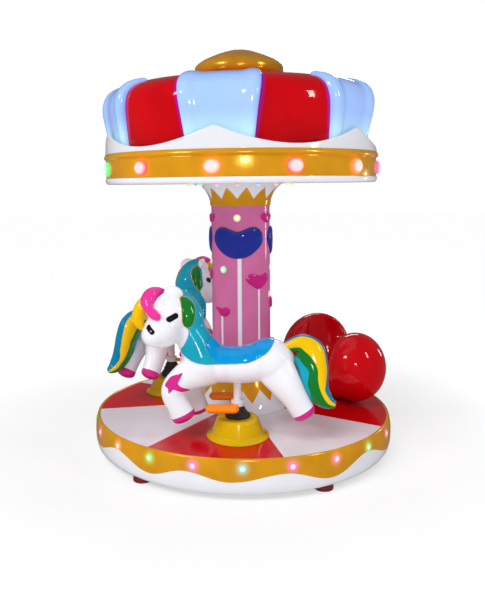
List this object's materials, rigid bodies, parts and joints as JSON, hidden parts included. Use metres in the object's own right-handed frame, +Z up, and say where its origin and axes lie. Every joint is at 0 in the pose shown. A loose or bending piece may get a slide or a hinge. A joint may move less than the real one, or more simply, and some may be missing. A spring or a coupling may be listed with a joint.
{
  "type": "fairground carousel",
  "caption": "Small turning fairground ride: round floor, pink column, crown canopy, ponies that bob on poles and a tub seat.",
  "frame": {"origin": "on the turning axis at the ground, under the feet", "axes": "+Z up along the turning axis; the front pony is at -Y and heads to -X"},
  "size_m": [1.498, 1.498, 2.006],
  "materials": {
    "frame_steel": "dull paint",
    "foot_maroon": "satin paint",
    "floor_shell": "glossy gel coat, red and white fields, gold skirt",
    "column_pink": "glossy gel coat",
    "heart_blue": "glossy gel coat",
    "canopy_white": "glossy gel coat",
    "band_gold": "glossy gold paint",
    "crown_red": "glossy gel coat",
    "lobe_ice": "translucent, lit from inside",
    "cap_gold": "glossy gold paint",
    "pony_white": "glossy gel coat",
    "mane_teal": "glossy gel coat",
    "forelock_pink": "glossy gel coat",
    "tail_striped": "glossy gel coat, striped",
    "saddle_blue": "glossy gel coat",
    "pole_white": "glossy paint",
    "rest_orange": "satin",
    "cup_yellow": "glossy gel coat",
    "boot_rubber": "matt",
    "seat_red": "glossy gel coat"
  },
  "bodies": {
    "chassis": {"base_frame": "frame_steel", "spindle": "frame_steel", "foot_1": "foot_maroon", "foot_2": "foot_maroon", "foot_3": "foot_maroon", "foot_4": "foot_maroon", "foot_5": "foot_maroon"},
    "rotor": {"deck": "floor_shell", "column": "column_pink", "canopy_tray": "canopy_white", "canopy_band": "band_gold", "canopy_fascia": "canopy_white", "crown_body": "crown_red", "crown_cap": "cap_gold", "seat_tub": "seat_red", "heart_1": "heart_blue", "heart_2": "heart_blue", "heart_3": "heart_blue", "crown_lobe_1": "lobe_ice", "crown_lobe_2": "lobe_ice", "crown_lobe_3": "lobe_ice", "crown_lobe_4": "lobe_ice", "crown_lobe_5": "lobe_ice", "crown_lobe_6": "lobe_ice", "cup_front": "cup_yellow", "boot_front": "boot_rubber", "cup_rear": "cup_yellow", "boot_rear": "boot_rubber"},
    "pony_front": {"pony_front_body": "pony_white", "pony_front_mane": "mane_teal", "pony_front_forelock": "forelock_pink", "pony_front_tail": "tail_striped", "pony_front_saddle": "saddle_blue", "pony_front_pole": "pole_white", "pony_front_footrest": "rest_orange"},
    "pony_rear": {"pony_rear_body": "pony_white", "pony_rear_mane": "mane_teal", "pony_rear_forelock": "forelock_pink", "pony_rear_tail": "tail_striped", "pony_rear_saddle": "saddle_blue", "pony_rear_pole": "pole_white", "pony_rear_footrest": "rest_orange"}
  },
  "joints": [
    {"name": "turntable", "type": "hinge", "parent": "chassis", "child": "rotor", "pos_m": [0, 0, 0.18], "axis": [0, 0, 1], "continuous": true},
    {"name": "pony_front_bob", "type": "slide", "parent": "rotor", "child": "pony_front", "axis": [0, 0, 1], "range_m": [-0.028, 0.04], "deforming": ["boot_front"]},
    {"name": "pony_rear_bob", "type": "slide", "parent": "rotor", "child": "pony_rear", "axis": [0, 0, 1], "range_m": [-0.045, 0.02], "deforming": ["boot_rear"]}
  ]
}
